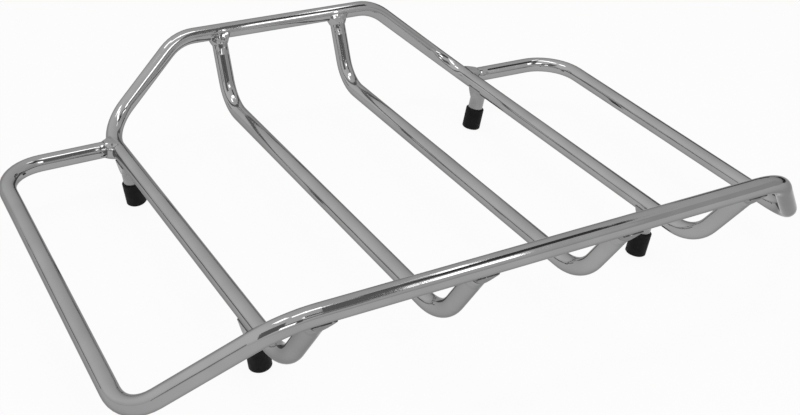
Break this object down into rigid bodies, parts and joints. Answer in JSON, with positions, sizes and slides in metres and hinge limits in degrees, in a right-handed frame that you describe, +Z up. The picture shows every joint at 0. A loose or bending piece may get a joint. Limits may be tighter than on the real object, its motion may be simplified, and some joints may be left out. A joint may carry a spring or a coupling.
{
  "type": "motorcycle luggage rack",
  "caption": "Luggage rack of bent chromed tube with lengthwise slats, a raised rear hoop, side wings and a raised front rail, on leaning feet with rubber caps.",
  "frame": {"origin": "below the middle of the frame, level with the lowest edges of the rubber-capped feet", "axes": "+Z up, +Y towards the raised hoop, -Y towards the raised front rail, +X to the right of someone who looks along +Y"},
  "size_m": [0.5354, 0.4086, 0.1112],
  "materials": {
    "chrome": "polished chrome plate over steel tube",
    "post_steel": "satin, paler than the tubes",
    "insert_steel": "bare turned steel, hidden",
    "rubber": "smooth matt black"
  },
  "bodies": {
    "root": {"hoop_tube": "chrome", "perimeter_tube": "chrome", "middle_slat_left": "chrome", "middle_slat_right": "chrome", "post_rear_left": "post_steel", "thread_insert_rear_left": "insert_steel", "rubber_cap_rear_left": "rubber", "post_rear_right": "post_steel", "thread_insert_rear_right": "insert_steel", "rubber_cap_rear_right": "rubber", "post_front_left": "post_steel", "thread_insert_front_left": "insert_steel", "rubber_cap_front_left": "rubber", "post_front_right": "post_steel", "thread_insert_front_right": "insert_steel", "rubber_cap_front_right": "rubber"}
  },
  "joints": []
}
